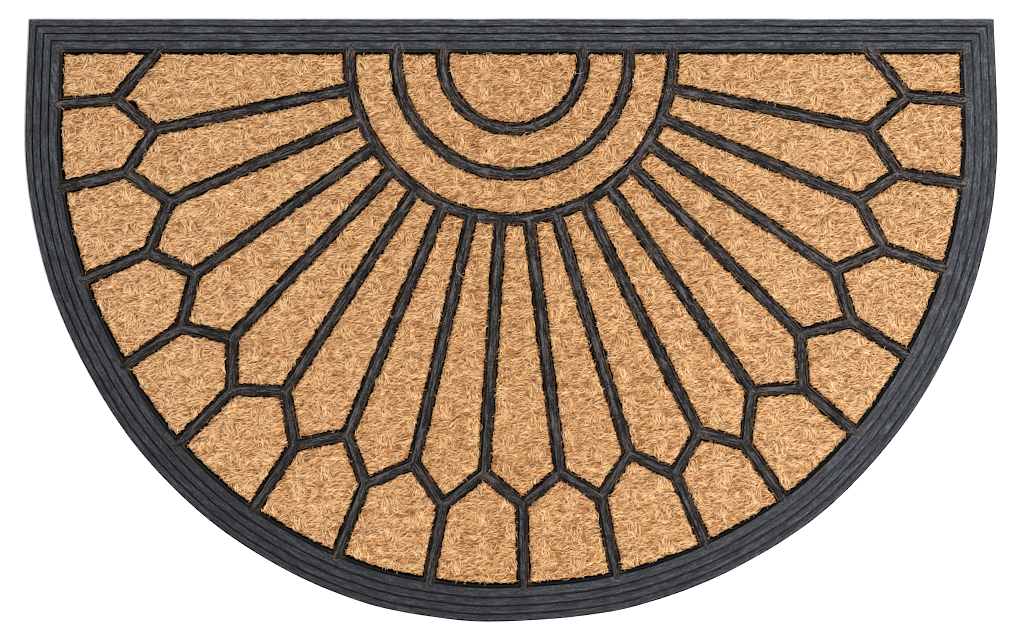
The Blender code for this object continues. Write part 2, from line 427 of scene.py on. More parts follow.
def flat_map(points, faces):
    """A plan of the mesh for its baked picture: upper faces above, lower ones smaller below."""
    corners = points[faces]
    size = np.ptp(points[:, :2], axis=0)
    place = (corners[..., :2] - points[:, :2].min(0)) / max(size[0], size[1] / TOP_SHARE)
    a, b, c = corners[:, 0, :2], corners[:, 1, :2], corners[:, 2, :2]
    down = (b[:, 0] - a[:, 0]) * (c[:, 1] - a[:, 1]) < (b[:, 1] - a[:, 1]) * (c[:, 0] - a[:, 0])
    upper = place + (0, 1 - TOP_SHARE)
    lower = place * (1 - TOP_SHARE) / TOP_SHARE * 0.95
    return np.clip(np.where(down[:, None, None], lower, upper), 0, 1)


def make_mesh(name, points, faces, values, baking_map):
    """A mesh object from arrays, smooth shaded, with one number a point for each value."""
    mesh = bpy.data.meshes.new(name)
    mesh.vertices.add(len(points))
    mesh.vertices.foreach_set("co", (points * MM).astype(np.float32).ravel())
    mesh.loops.add(faces.size)
    mesh.loops.foreach_set("vertex_index", faces.astype(np.int32).ravel())
    mesh.polygons.add(len(faces))
    mesh.polygons.foreach_set("loop_start", np.arange(0, faces.size, 3, dtype=np.int32))
    mesh.update(calc_edges=True)
    mesh.shade_smooth()
    layer = mesh.uv_layers.new(name="OFBake")
    layer.data.foreach_set("uv", baking_map.astype(np.float32).ravel())
    for key, value in values.items():
        attribute = mesh.attributes.new(key, "FLOAT", "POINT")
        attribute.data.foreach_set("value", np.asarray(value, np.float32))
    piece = bpy.data.objects.new(name, mesh)
    bpy.context.scene.collection.objects.link(piece)
    return piece


def facing_up(points, faces):
    """The same faces, each turned so that its normal doesn't point down."""
    a, b, c = (points[faces[:, i], :2] for i in range(3))
    cross = (b[:, 0] - a[:, 0]) * (c[:, 1] - a[:, 1]) - (b[:, 1] - a[:, 1]) * (c[:, 0] - a[:, 0])
    return np.where(cross[:, None] < 0, faces[:, ::-1], faces)


# The rubber moulding.


def border_loops():
    """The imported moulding's rings from the outline inwards: {name: loop}, started alike."""
    outline = anticlockwise(level_loops(MOULDING, 0.0, -1)[0])
    rings = {"outline": outline}
    for number, height in enumerate(STEP_HEIGHTS):
        level = [anticlockwise(loop) for loop in level_loops(MOULDING, height)]
        level = [loop for loop in level if len(loop) == len(outline)]
        level.sort(key=signed_area, reverse=True)
        rings[f"outer {number}"] = level[0]
        if height < RUBBER_TOP:
            rings[f"inner {number}"] = level[1]
            groove = [anticlockwise(loop) for loop in level_loops(MOULDING, height - GROOVE_DEPTH)]
            groove.sort(key=signed_area, reverse=True)
            rings[f"groove start {number}"] = groove[0]
            rings[f"groove end {number}"] = groove[1]
    return {name: matched(outline, [loop]) for name, loop in rings.items()}


def pocket_loops():
    """For each pocket, the foot of its upper wall and the edge of its ledge, started alike."""
    ledges = level_loops(MOULDING, LEDGE)
    feet = [loop for loop in ledges if signed_area(loop) > 0]
    edges = [anticlockwise(loop) for loop in ledges if signed_area(loop) < 0]
    return [(foot, matched(foot, edges)) for foot in feet]


def wandered(plan):
    """Plan points moved a little by a smooth random field, as a mould's edges wander."""
    x, y = plan.T
    moved = plan
    for share, size, seeds in ((1.0, WANDER_SIZE, (11, 12)), (0.35, WANDER_SIZE / 4, (13, 14))):
        shift = np.stack([noise(x, y, size, seed) for seed in seeds], 1)
        moved = moved + share * WANDER * shift
    return moved


def with_height(plan, height):
    points = np.column_stack((wandered(plan), np.full(len(plan), float(height))))
    if height > 0:
        points[:, 2] += UNEVEN_HEIGHT * noise(*plan.T, size=9.0, seed=15)
    return points


def faces_light(ways):
    """1 for ways that point to the light's side and 0 for those that point away."""
    return np.clip((ways @ LIT_WAY - 0.3) / 0.5, 0, 1)


def add_border(surface, rings):
    """The stepped border, from the rim on the floor to the edge of the top step."""
    names = list(rings)
    fine = dict(zip(names, refined([rings[name] for name in names], RUBBER_STEP)))
    inwards = fine["outer 3"] - fine["outline"]
    inwards /= np.hypot(*inwards.T)[:, None]
    lit = LIT_GROOVE * faces_light(-inwards)
    size = len(inwards)
    floor = with_height(fine["outline"], 0.0)
    rows = [surface.add_points(floor, streak=0.0, shade=0.8, dust=0.0, uneven=0.0)]
    for number, height in enumerate(STEP_HEIGHTS):
        places = {
            "outer": fine[f"outer {number}"],
            "inner": fine.get(f"inner {number}"),
            "groove start": fine.get(f"groove start {number}"),
            "groove end": fine.get(f"groove end {number}"),
        }
        if height < RUBBER_TOP:
            places["middle"] = (places["outer"] + places["inner"]) / 2
        for measured_from, inward, above, shade in BAND_SECTION:
            if height == RUBBER_TOP and measured_from != "outer":
                continue
            plan = places[measured_from] + inward * inwards
            streak = np.hypot(*(plan - fine["outline"]).T)
            points = with_height(plan, height + above)
            paler = 0.0 if measured_from == "outer" and number == 0 else lit
            here = shade + paler * max(1 - shade, 0)
            rows.append(surface.add_points(
                points, streak=streak, shade=here, dust=0.0, uneven=0.0))
    surface.add_faces(strips(rows, size))
    return np.arange(size), rows[-1] + np.arange(size)


def along_rib(foot, outline):
    """For each point of a pocket's wall, 1 beside a rib and 0 beside the border."""
    near = inside_by(foot, outline)
    step = 1.0
    gained = near - inside_by(foot + step * outward_ways(foot), outline)
    at_border = (near < WIDEST_BORDER) & (gained > 0.97 * step)
    return np.where(at_border, 0.0, 1.0)


def add_pocket(surface, foot, edge, outline):
    """One pocket's walls and ledge. Returns its first row, on the rib, and its floor's row."""
    foot, edge = refined([foot, edge], RUBBER_STEP)
    beside_rib = along_rib(foot, outline)
    outwards = outward_ways(foot)
    side = np.where(outwards @ SIDE_WAY > 0, 1.0, -1.0)
    lit = LIT_WALL * faces_light(outwards)
    rows = []
    for from_middle, height, rib_shade, border_shade, dust in RIB_SECTION:
        share = (from_middle - WALL_FROM_MIDDLE) / (LEDGE_END_FROM_MIDDLE - WALL_FROM_MIDDLE)
        plan = foot + share * (edge - foot)
        streak = np.where(beside_rib > 0, side * from_middle, inside_by(plan, outline))
        points = with_height(plan, height)
        paler = lit * (1 - border_shade) if height > UPPER_WALL else 0.0
        shade = np.where(beside_rib > 0, rib_shade, border_shade + paler)
        dust_here = dust * (0.3 + 0.7 * beside_rib)
        rows.append(surface.add_points(
            points, streak=streak, shade=shade, dust=dust_here, uneven=beside_rib))
    surface.add_faces(strips(rows, len(foot)))
    return rows[0] + np.arange(len(foot)), rows[-1] + np.arange(len(foot))


def noise_node(nodes, links, vector, scale, detail, roughness):
    node = nodes.new("ShaderNodeTexNoise")
    node.inputs["Scale"].default_value = scale
    node.inputs["Detail"].default_value = detail
    node.inputs["Roughness"].default_value = roughness
    links.new(vector, node.inputs["Vector"])
    return node.outputs["Fac"]


def point_value(nodes, name):
    """The values kept at a mesh's points under a name."""
    node = nodes.new("ShaderNodeAttribute")
    node.attribute_name = name
    return node.outputs["Fac"]


def set_stops(ramp, stops):
    """Give a colour ramp its positions and colours."""
    elements = ramp.color_ramp.elements
    while len(elements) < len(stops):
        elements.new(0.5)
    for element, (position, rgb) in zip(elements, stops):
        element.position = position
        element.color = (*rgb, 1)


def colour_socket(sockets, name, kind="RGBA"):
    """The socket of a mixing node with that name and kind, out of several with one name."""
    return [socket for socket in sockets if socket.name == name and socket.type == kind][0]


def math_node(nodes, links, operation, first, second):
    node = nodes.new("ShaderNodeMath")
    node.operation = operation
    for value, socket in zip((first, second), node.inputs):
        if isinstance(value, (int, float)):
            socket.default_value = value
        else:
            links.new(value, socket)
    return node.outputs[0]


def rubber_material():
    material = bpy.data.materials.new("moulded rubber")
    material.use_nodes = True
    nodes, links = material.node_tree.nodes, material.node_tree.links
    shader = nodes["Principled BSDF"]
    shader.inputs["Roughness"].default_value = 0.55
    shader.inputs["Specular IOR Level"].default_value = 0.15

    place = nodes.new("ShaderNodeTexCoord").outputs["Object"]
    streak = point_value(nodes, "streak")
    # Painted light and shade from the sections: dark in the gaps and grooves, paler on lit edges.
    shade = point_value(nodes, "shade")
    dust = point_value(nodes, "dust")
    uneven = point_value(nodes, "uneven")
    parts = nodes.new("ShaderNodeSeparateXYZ")
    links.new(place, parts.inputs[0])

    # Streaks that follow the ribs and bands: slow along them and quick across them.
    skin_parts = []
    for along, across, weight in RUBBER_STREAKS:
        stretched = nodes.new("ShaderNodeCombineXYZ")
        links.new(math_node(nodes, links, "MULTIPLY", parts.outputs[0], along), stretched.inputs[0])
        links.new(math_node(nodes, links, "MULTIPLY", parts.outputs[1], along), stretched.inputs[1])
        links.new(math_node(nodes, links, "MULTIPLY", streak, across), stretched.inputs[2])
        skin_parts.append((noise_node(nodes, links, stretched.outputs[0], 1.0, 2.0, 0.6), weight))

    # Fine mottling of the moulded skin, and broader patches of wear.
    for scale, detail, roughness, weight in RUBBER_GRAIN:
        skin_parts.append((noise_node(nodes, links, place, scale, detail, roughness), weight))
    skin = None
    for part, weight in skin_parts:
        weighed = math_node(nodes, links, "MULTIPLY", part, weight)
        skin = weighed if skin is None else math_node(nodes, links, "ADD", skin, weighed)

    # The ribs are more uneven than the border.
    contrast = math_node(nodes, links, "MULTIPLY", uneven, RIB_UNEVENNESS)
    off_middle = math_node(nodes, links, "SUBTRACT", skin, 0.5)
    skin = math_node(nodes, links, "ADD", skin, math_node(
        nodes, links, "MULTIPLY", off_middle, contrast))

    colour = nodes.new("ShaderNodeValToRGB")
    set_stops(colour, RUBBER_STOPS)
    links.new(skin, colour.inputs["Fac"])

    # Coir dust makes the ribs and ledges a little browner than the border.
    browned = nodes.new("ShaderNodeMix")
    browned.data_type = "RGBA"
    browned.blend_type = "MULTIPLY"
    links.new(dust, colour_socket(browned.inputs, "Factor", "VALUE"))
    links.new(colour.outputs["Color"], colour_socket(browned.inputs, "A"))
    colour_socket(browned.inputs, "B").default_value = (*DUST_TINT, 1)

    # Painted light: the rubber is made paler towards the right and towards the straight edge, where
    # the light falls more strongly.
    to_right = math_node(nodes, links, "MULTIPLY", parts.outputs[0], LIGHT_PAINTED_TO_RIGHT)
    to_back = math_node(nodes, links, "MULTIPLY", parts.outputs[1], LIGHT_PAINTED_TO_BACK)
    painted_light_slope = math_node(nodes, links, "ADD", to_right, to_back)
    painted_light = math_node(nodes, links, "ADD", painted_light_slope, LIGHT_PAINTED_IN_MIDDLE)
    scale = math_node(nodes, links, "MULTIPLY", shade, painted_light)
    shaded = nodes.new("ShaderNodeVectorMath")
    shaded.operation = "SCALE"
    links.new(colour_socket(browned.outputs, "Result"), shaded.inputs[0])
    links.new(scale, shaded.inputs["Scale"])
    links.new(shaded.outputs["Vector"], shader.inputs["Base Color"])

    bump = nodes.new("ShaderNodeBump")
    bump.inputs["Strength"].default_value = 0.4
    bump.inputs["Distance"].default_value = 0.2 * MM
    links.new(skin, bump.inputs["Height"])
    links.new(bump.outputs["Normal"], shader.inputs["Normal"])
    return material


def make_moulding():
    """The moulding with rounded and slightly hollow ribs, grooved steps and an even underside."""
    surface = Surface()
    rings = border_loops()
    floor_row, plateau = add_border(surface, rings)
    rib_rows = []
    floors = []
    for foot, edge in pocket_loops():
        rib_row, floor = add_pocket(surface, foot, edge, rings["outline"])
        rib_rows.append(rib_row)
        floors.append(floor)
    plan = surface.plan()
    points = np.concatenate(surface.points)

    used = np.concatenate((plateau, *rib_rows))
    place_of = np.full(len(plan), -1)
    place_of[used] = np.arange(len(used))
    top = fill(plan[used], place_of[plateau], [place_of[row] for row in rib_rows])
    surface.add_faces(used[top])
    for floor in floors:
        surface.add_faces(floor[fill(plan[floor], np.arange(len(floor)))])
    upper = facing_up(points, np.concatenate(surface.faces))

    underside = floor_row[fill(plan[floor_row], np.arange(len(floor_row)))]
    underside = facing_up(points, underside)[:, ::-1]
    values = {name: np.concatenate(parts) for name, parts in surface.values.items()}
    faces = np.concatenate((upper, underside))
    piece = make_mesh("moulded_rubber", points, faces, values, flat_map(points, faces))
    piece.data.materials.append(rubber_material())
    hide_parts(MOULDING)
    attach(piece, BODY)
    return piece


# The coir.


def weave_place(x, y):
    """Each point's offset from the nearest warp stitch, and how far apart the rows are."""
    x = x + 1.6 * noise(x, y, size=60.0, seed=21) + 0.8 * noise(x, y, size=14.0, seed=22)
    y = y + 1.2 * noise(x, y, size=60.0, seed=23) + 0.6 * noise(x, y, size=14.0, seed=24)
    (a, b), (c, d) = np.linalg.inv(np.column_stack((STITCH_TO_RIGHT, STITCH_TO_LEFT)))
    x, y = x - ONE_STITCH[0], y - ONE_STITCH[1]
    u, v = a * x + b * y, c * x + d * y
    row = np.round(u + v)
    along = (u - v) / 2 - 0.5 * (row % 2)
    weft_repeat = np.hypot(*(STITCH_TO_RIGHT - STITCH_TO_LEFT))
    row_pitch = abs(STITCH_TO_RIGHT[1] + STITCH_TO_LEFT[1]) / 2
    return (along - np.round(along)) * weft_repeat, -(u + v - row) * row_pitch, row_pitch


def stitch_share(x, y):
    """1 where the warp shows on top and 0 where the weft does, with a soft change between."""
    along, across, _ = weave_place(x, y)
    reach = (np.abs(along) / STITCH_HALF_WIDTH) ** 2.5 + (np.abs(across) / STITCH_HALF_HEIGHT) ** 2.5
    return 1 / (1 + np.exp(6 * (reach - 1)))


def relief(x, y):
    """Height of the woven cloth over its mean, from about -1 to 1."""
    along, across, pitch = weave_place(x, y)
    weft = np.cos(2 * math.pi * across / pitch)
    strands = np.cos(4 * math.pi * across / pitch)
    warp = np.cos(0.5 * math.pi * np.clip(along / STITCH_HALF_WIDTH / 1.2, -1, 1)) * 1.6 - 0.4
    stitch = stitch_share(x, y)
    pit = np.exp(-(((np.abs(along) - STITCH_HALF_WIDTH - 1.2) / 1.6) ** 2 + (across / 4) ** 2))
    woven = (1 - stitch) * (0.55 * weft + 0.18 * strands) + stitch * warp - 0.9 * pit
    return 0.7 * woven + 0.3 * noise(x, y, size=3.0, seed=25)


def pits(x, y):
    """1 at the small dark pits between the strands and 0 elsewhere."""
    depth = noise(x, y, size=1.9, seed=51) + 0.5 * noise(x, y, size=5.5, seed=52) - 0.95 * relief(x, y)
    return np.clip((depth - 0.55) / 0.4, 0, 1)


def is_free(loop, ways, far):
    """Whether each point of a loop, moved by a distance, is still nearest to its own side."""
    return inside_by(loop + far * ways, loop) > 0.72 * far


def room_inwards(loop, ways, most):
    """How far each point of a loop can move inwards and still be nearest to its own side."""
    tried = np.linspace(0.1, 1, 19) * most
    room = np.where(is_free(loop, ways, tried[0]), tried[0], 0.3 * tried[0])
    for before, far in zip(tried, tried[1:]):
        room = np.where(is_free(loop, ways, far) & (room >= before), far, room)
    return room


def ragged(loop, seed):
    """How far each point of a panel's cut edge is pulled in, with a few deeper bites."""
    x, y = loop.T
    pulled = 0.1 + FRAYED_BY * noise(x, y, 2.1, seed)
    pulled += np.clip(noise(x, y, 5.0, seed + 1) - 0.4, 0, 1) * NICKED_BY
    for bite_x, bite_y, reach, depth in BITES:
        near = np.hypot(x - bite_x, y - bite_y) / reach
        pulled += depth * np.clip(1.6 - 1.6 * near, 0, 1)
    return np.maximum(pulled, -MOST_OUTWARDS)


class Cut:
    """One panel's outline at its foot, the ways inwards from it, and its uneven top edge."""

    def __init__(self, node, seed):
        self.node = node
        self.seed = seed
        self.guide = anticlockwise(level_loops(node, PANEL_BOTTOM, -1)[0])
        self.foot = refined([self.guide], CLOTH_EDGE_STEP)[0]
        self.ways = -outward_ways(self.foot)
        self.room = 0.7 * room_inwards(self.foot, self.ways, MOST_INWARDS)
        self.pulled = ragged(self.foot, seed)
        if "rim" in node:
            self.pulled = np.maximum(self.pulled - LIT_REACH * self.lit_border(), -MOST_TO_LIGHT)
        self.edge = self.moved(0.0, 1.0)

    def lit_border(self):
        """1 along the side at the border where that faces the light, and 0 elsewhere."""
        from_hub = self.foot - FAN_CENTRE
        outwards = -(self.ways * from_hub).sum(1) / np.hypot(*from_hub.T)
        return np.clip((outwards - 0.6) / 0.3, 0, 1) * faces_light(-self.ways)

    def moved(self, inward, follow):
        """The outline moved in by a distance, and by a share of its unevenness."""
        far = np.minimum(inward + follow * self.pulled, self.room)
        return self.foot + self.ways * far[:, None]

    def flat_size(self):
        """Width and length: of its smallest rectangle, or along the middle of a bent strip."""
        best = None
        for degrees in range(90):
            c, t = math.cos(math.radians(degrees)), math.sin(math.radians(degrees))
            width, length = np.ptp(self.guide @ np.array(((c, -t), (t, c))), axis=0)
            if best is None or width * length < best[0] * best[1]:
                best = (width, length)
        area = signed_area(self.guide)
        if area > 0.35 * best[0] * best[1]:
            return best
        half_way_round = np.hypot(*(np.roll(self.guide, -1, axis=0) - self.guide).T).sum() / 2
        width = (half_way_round - math.sqrt(half_way_round**2 - 4 * area)) / 2
        return width, area / width


def cloth_material():
    material = bpy.data.materials.new("woven coir ground")
    material.use_nodes = True
    nodes, links = material.node_tree.nodes, material.node_tree.links
    shader = nodes["Principled BSDF"]
    shader.inputs["Roughness"].default_value = 0.85
    shader.inputs["Specular IOR Level"].default_value = 0.2
    place = nodes.new("ShaderNodeTexCoord").outputs["Object"]
    turned = nodes.new("ShaderNodeMapping")
    turned.inputs["Rotation"].default_value = (0, 0, math.radians(-WEFT_ANGLE))
    turned.inputs["Scale"].default_value = (180, 1100, 400)
    links.new(place, turned.inputs["Vector"])
    strokes = noise_node(nodes, links, turned.outputs[0], 1.0, 3.0, 0.5)
    colour = nodes.new("ShaderNodeValToRGB")
    set_stops(colour, GROUND_STOPS)
    links.new(strokes, colour.inputs["Fac"])
    links.new(colour.outputs["Color"], shader.inputs["Base Color"])
    bump = nodes.new("ShaderNodeBump")
    bump.inputs["Strength"].default_value = 0.8
    bump.inputs["Distance"].default_value = 0.3 * MM
    links.new(strokes, bump.inputs["Height"])
    links.new(bump.outputs["Normal"], shader.inputs["Normal"])
    return material


def make_cloth(cut, material):
    """The woven ground of one panel: a closed sheet with the weave's relief and a cut edge."""
    surface = Surface()
    rows = []
    for inward, follow, height in CLOTH_ROWS:
        plan = cut.moved(inward, follow)
        points = np.column_stack((plan, np.full(len(plan), height)))
        if height > PANEL_BOTTOM:
            points[:, 2] += 0.35 * CLOTH_RELIEF * relief(*plan.T)
        rows.append(surface.add_points(points))
    size = len(cut.foot)
    surface.add_faces(strips(rows, size))

    low, high = cut.guide.min(0), cut.guide.max(0)
    columns = np.arange(low[0], high[0], CLOTH_STEP)
    lines = np.arange(low[1], high[1], CLOTH_STEP * 0.87)
    x, y = np.meshgrid(columns, lines)
    x = x + 0.5 * CLOTH_STEP * (np.arange(len(lines)) % 2)[:, None]
    spots = np.stack((x.ravel(), y.ravel()), 1)
    spots += np.random.default_rng(cut.seed).uniform(-0.4, 0.4, spots.shape)
    rim = surface.plan()[rows[-1] : rows[-1] + size]
    spots = spots[inside_by(spots, rim) > 0.9]
    heights = CLOTH_TOP + CLOTH_RELIEF * relief(*spots.T)
    first = surface.add_points(np.column_stack((spots, heights)))
    points = np.concatenate(surface.points)

    used = np.concatenate((rows[-1] + np.arange(size), first + np.arange(len(spots))))
    top = used[fill(points[used, :2], np.arange(size))]
    bottom = fill(points[:size, :2], np.arange(size))
    upper = facing_up(points, np.concatenate((*surface.faces, top)))
    lower = facing_up(points, bottom)[:, ::-1]
    name = cut.node.replace("coir", "woven")
    faces = np.concatenate((upper, lower))
    piece = make_mesh(name, points, faces, {}, flat_map(points, faces))
    piece.data.materials.append(material)
    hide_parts(cut.node)
    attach(piece, BODY)
    width, length = cut.flat_size()


def fibre_angles(x, y, rng):
    """The way in which fibres lie at each point, in radians, by the weave and at random."""
    over = rng.random(len(x)) < stitch_share(x, y)
    swirl = 9 * noise(x, y, size=7.0, seed=31) + 6 * noise(x, y, size=2.6, seed=32)
    weft = WEFT_ANGLE + swirl + rng.normal(0, FIBRE_SPREAD_DEG, len(x))
    warp = WARP_ANGLE + swirl + rng.normal(0, FIBRE_SPREAD_DEG, len(x))
    angle = np.where(over, warp, weft)
    angle = np.where(rng.random(len(x)) < STRAY_SHARE, rng.uniform(-90, 90, len(x)), angle)
    return np.radians(angle)


def trimmed(centres, ends, edge, overhang):
    """The ends pulled back towards their centres so that they pass an edge by overhang at most."""
    near = inside_by(centres, edge)
    far = inside_by(ends, edge)
    share = (near + overhang) / np.maximum(near - far, 1e-6)
    share = np.where(far < -overhang, np.clip(share, 0.05, 1), 1.0)
    return centres + (ends - centres) * share[:, None]


def spots_inside(edge, per_square_mm, rng):
    """Random points inside a panel's edge, and how far inside each one lies."""
    low, high = edge.min(0), edge.max(0)
    spots = rng.uniform(low, high, (int(np.prod(high - low) * per_square_mm), 2))
    inside = inside_by(spots, edge)
    return spots[inside > 0.1], inside[inside > 0.1]


def bent_paths(spots, edge, lengths, points_each, rng):
    """Plan paths of wavy fibres through the spots, trimmed near the edge."""
    angle = fibre_angles(*spots.T, rng)
    way = np.stack((np.cos(angle), np.sin(angle)), 1)
    side = np.stack((-way[:, 1], way[:, 0]), 1)
    overhang = rng.uniform(*OVERHANG, len(spots))
    half = (lengths / 2)[:, None]
    start = trimmed(spots, spots - half * way, edge, overhang)
    end = trimmed(spots, spots + half * way, edge, overhang)
    bend, wave = rng.normal(0, (0.08, 0.13), (len(spots), 2)).T * lengths
    paths = []
    for s in np.linspace(-1, 1, points_each):
        middle = spots + (end - spots) * max(s, 0) + (start - spots) * max(-s, 0)
        paths.append(middle + side * ((bend + wave * s) * (1 - s * s))[:, None])
    return np.stack(paths, 1)


def curled_paths(starts, headings, turnings, lengths, points_each):
    """Plan paths that leave their starts with a heading and turn as they go."""
    step = (lengths / (points_each - 1))[:, None]
    heading = headings[:, None] + turnings[:, None] * step * np.arange(points_each - 1)
    moves = np.stack((np.cos(heading), np.sin(heading)), 2) * step[..., None]
    walked = np.concatenate((np.zeros((len(starts), 1, 2)), np.cumsum(moves, axis=1)), 1)
    return starts[:, None, :] + walked


def strands(paths, heights, radii, tone, hue):
    """Closed three-sided strands along the paths, pointed at both ends, as a tuple of arrays."""
    count, each, _ = paths.shape
    centre = np.concatenate((paths, heights[..., None]), 2)
    way = np.gradient(paths, axis=1)
    way /= np.maximum(np.sqrt((way**2).sum(-1, keepdims=True)), 1e-9)
    side = np.stack((-way[..., 1], way[..., 0], np.zeros(way.shape[:2])), -1)
    up = np.array((0.0, 0.0, 1.0))
    rings = []
    for turn in (90.0, 210.0, 330.0):
        c, s = math.cos(math.radians(turn)), math.sin(math.radians(turn))
        rings.append(centre[:, 1:-1] + radii[:, None, None] * (c * side[:, 1:-1] + 0.8 * s * up))
    inner = each - 2
    ring = np.stack(rings, 2).reshape(count, inner * 3, 3)
    points = np.concatenate((centre[:, :1], ring, centre[:, -1:]), 1)
    last = inner * 3 + 1
    faces = []
    for i in range(3):
        j = (i + 1) % 3
        faces.append((0, 1 + j, 1 + i))
        faces.append((last, last - 3 + i, last - 3 + j))
        for k in range(inner - 1):
            a, b = 1 + 3 * k + i, 1 + 3 * k + j
            faces += [(a, b, b + 3), (a, b + 3, a + 3)]
    size = last + 1
    offsets = (np.arange(count) * size)[:, None, None]
    faces = (np.array(faces)[None] + offsets).reshape(-1, 3)
    return points.reshape(-1, 3), faces, np.repeat(tone, size), np.repeat(hue, size)


def joined(parts):
    """One tuple of arrays out of several."""
    start = 0
    faces = []
    for points, part_faces, *_ in parts:
        faces.append(part_faces + start)
        start += len(points)
    points, _, tone, hue = zip(*parts)
    return np.concatenate(points), np.concatenate(faces), np.concatenate(tone), np.concatenate(hue)


def fibre_tones(x, y, lift, edge, rng):
    """How light each fibre is, from 0 to 1: at random, and by its height in the weave as painted
    shade, lower being darker.
    """
    # Painted shade: lower fibres, and fibres in the weave's hollows, are given darker tones.
    tone = TONE_MEAN + TONE_SPREAD * rng.normal(0, 1, len(x)) + TONE_BY_LIFT * (lift - 0.5)
    tone += TONE_BY_RELIEF * relief(x, y)
    for weight, size, seed in TONE_FIELDS:
        tone += weight * noise(x, y, size, seed)
    # The outer panels are paler than the middle ones.
    tone += 0.08 * np.minimum(np.abs(x) / 130.0, 2) - 0.07
    tone += TONE_AT_EDGE * np.exp(-np.clip(edge, 0, None) / 0.7)
    # Painted shade: darker fibres over the pits between the strands.
    tone += TONE_IN_PITS * pits(x, y) * (edge > 1.5)
    tone -= DARKER_BY * (rng.random(len(x)) < DARK_SHARE)
    return np.clip(tone, 0.02, 0.98)


def fibre_hues(x, y, rng):
    """0 for a yellowish fibre and 1 for a pinkish one; pinker over the pits, the colour of the painted
    shade there.
    """
    hue = 0.45 + 0.15 * rng.normal(0, 1, len(x)) + 0.25 * noise(x, y, size=6.0, seed=43)
    return np.clip(hue + 0.3 * pits(x, y), 0.02, 0.98)


def panel_fibres(cut, rng):
    """The fibres of one panel, longer ones over short ones, with short dark strokes on top as painted
    shade of the gaps between fibres.
    """
    parts = []
    for per_square_mm, mean_length, radius, points_each, on_top, darker in FIBRE_LAYERS:
        spots, inside = spots_inside(cut.edge, per_square_mm, rng)
        # Painted shade: the dark strokes are kept mostly over the pits.
        if darker:
            kept = rng.random(len(spots)) < 0.3 + 0.7 * pits(*spots.T)
            spots, inside = spots[kept], inside[kept]
        count = len(spots)
        lengths = mean_length * np.clip(rng.normal(1.0, 0.25, count), 0.5, 1.6)
        paths = bent_paths(spots, cut.edge, lengths, points_each, rng)
        lift = rng.random(count)
        arch = 1 - np.linspace(-1, 1, points_each) ** 2
        heights = CLOTH_TOP + CLOTH_RELIEF * relief(paths[..., 0], paths[..., 1])
        raised = FIBRE_LOFT * lift + on_top - SUNK_IN_PITS * pits(*spots.T)
        raised -= LOWER_AT_EDGE * np.exp(-np.clip(inside, 0, None) / 1.2)
        heights += raised[:, None] - SUNK_INTO_CLOTH + FIBRE_ARCH * arch
        tone = fibre_tones(*spots.T, np.minimum(lift + on_top, 1), inside, rng)
        tone = np.maximum(tone - darker * rng.uniform(0.6, 1.0, count), 0.02)
        radii = radius * rng.uniform(0.7, 1.3, count)
        parts.append(strands(paths, heights, radii, tone, fibre_hues(*spots.T, rng)))
    return joined(parts)


def edge_hairs(cut, rng):
    """Short hairs that stick out over a panel's edge."""
    round_it = np.hypot(*(np.roll(cut.edge, -1, axis=0) - cut.edge).T).sum()
    count = int(round_it / HAIR_SPACING)
    at = rng.integers(len(cut.edge), size=count)
    outwards = -cut.ways[at]
    starts = cut.edge[at] - outwards * rng.uniform(0.7, 2.2, (count, 1))
    starts += rng.uniform(-0.9, 0.9, (count, 2))
    headings = np.arctan2(outwards[:, 1], outwards[:, 0]) + rng.normal(0, 0.75, count)
    lengths = rng.uniform(*HAIR_LENGTH, count) + rng.exponential(0.4, count)
    paths = curled_paths(starts, headings, rng.normal(0, 0.22, count), lengths, HAIR_POINTS)
    rise = rng.uniform(-0.05, 0.3, (count, 1))
    heights = 8.45 + rng.uniform(0, 0.5, (count, 1)) + rise * np.arange(HAIR_POINTS)
    tone = np.clip(rng.normal(0.66, 0.2, count), 0.1, 0.98)
    radii = rng.uniform(*HAIR_RADIUS, count)
    return strands(paths, heights, radii, tone, rng.uniform(0.1, 0.9, count))


def long_curls(cuts, rng):
    """A few long fibres that have come loose and lie over the ribs and the border."""
    parts = []
    for cut in rng.choice(cuts, LONG_CURLS):
        at = rng.integers(len(cut.edge), size=1)
        outwards = -cut.ways[at]
        heading = np.arctan2(outwards[:, 1], outwards[:, 0]) + rng.normal(0, 0.5, 1)
        length = rng.uniform(*CURL_LENGTH, 1)
        turning = rng.choice((-1, 1)) * rng.uniform(*CURL_TURNING, 1)
        paths = curled_paths(cut.edge[at] - 2 * outwards, heading, turning, length, CURL_POINTS)
        heights = 8.7 + 0.3 * np.sin(np.linspace(0, 5, CURL_POINTS))[None]
        radii = rng.uniform(*CURL_RADIUS, 1)
        parts.append(strands(paths, heights, radii, rng.uniform(0.75, 0.95, 1), np.array([0.3])))
    return parts


def fibre_material():
    material = bpy.data.materials.new("coir fibre")
    material.use_nodes = True
    nodes, links = material.node_tree.nodes, material.node_tree.links
    shader = nodes["Principled BSDF"]
    shader.inputs["Roughness"].default_value = 0.6
    shader.inputs["Specular IOR Level"].default_value = 0.3
    tone = point_value(nodes, "tone")
    hue = point_value(nodes, "hue")
    mixed = nodes.new("ShaderNodeMix")
    mixed.data_type = "RGBA"
    links.new(hue, colour_socket(mixed.inputs, "Factor", "VALUE"))
    for stops, end in ((YELLOWISH, "A"), (PINKISH, "B")):
        ramp = nodes.new("ShaderNodeValToRGB")
        set_stops(ramp, stops)
        links.new(tone, ramp.inputs["Fac"])
        links.new(ramp.outputs["Color"], colour_socket(mixed.inputs, end))
    links.new(colour_socket(mixed.outputs, "Result"), shader.inputs["Base Color"])
    return material


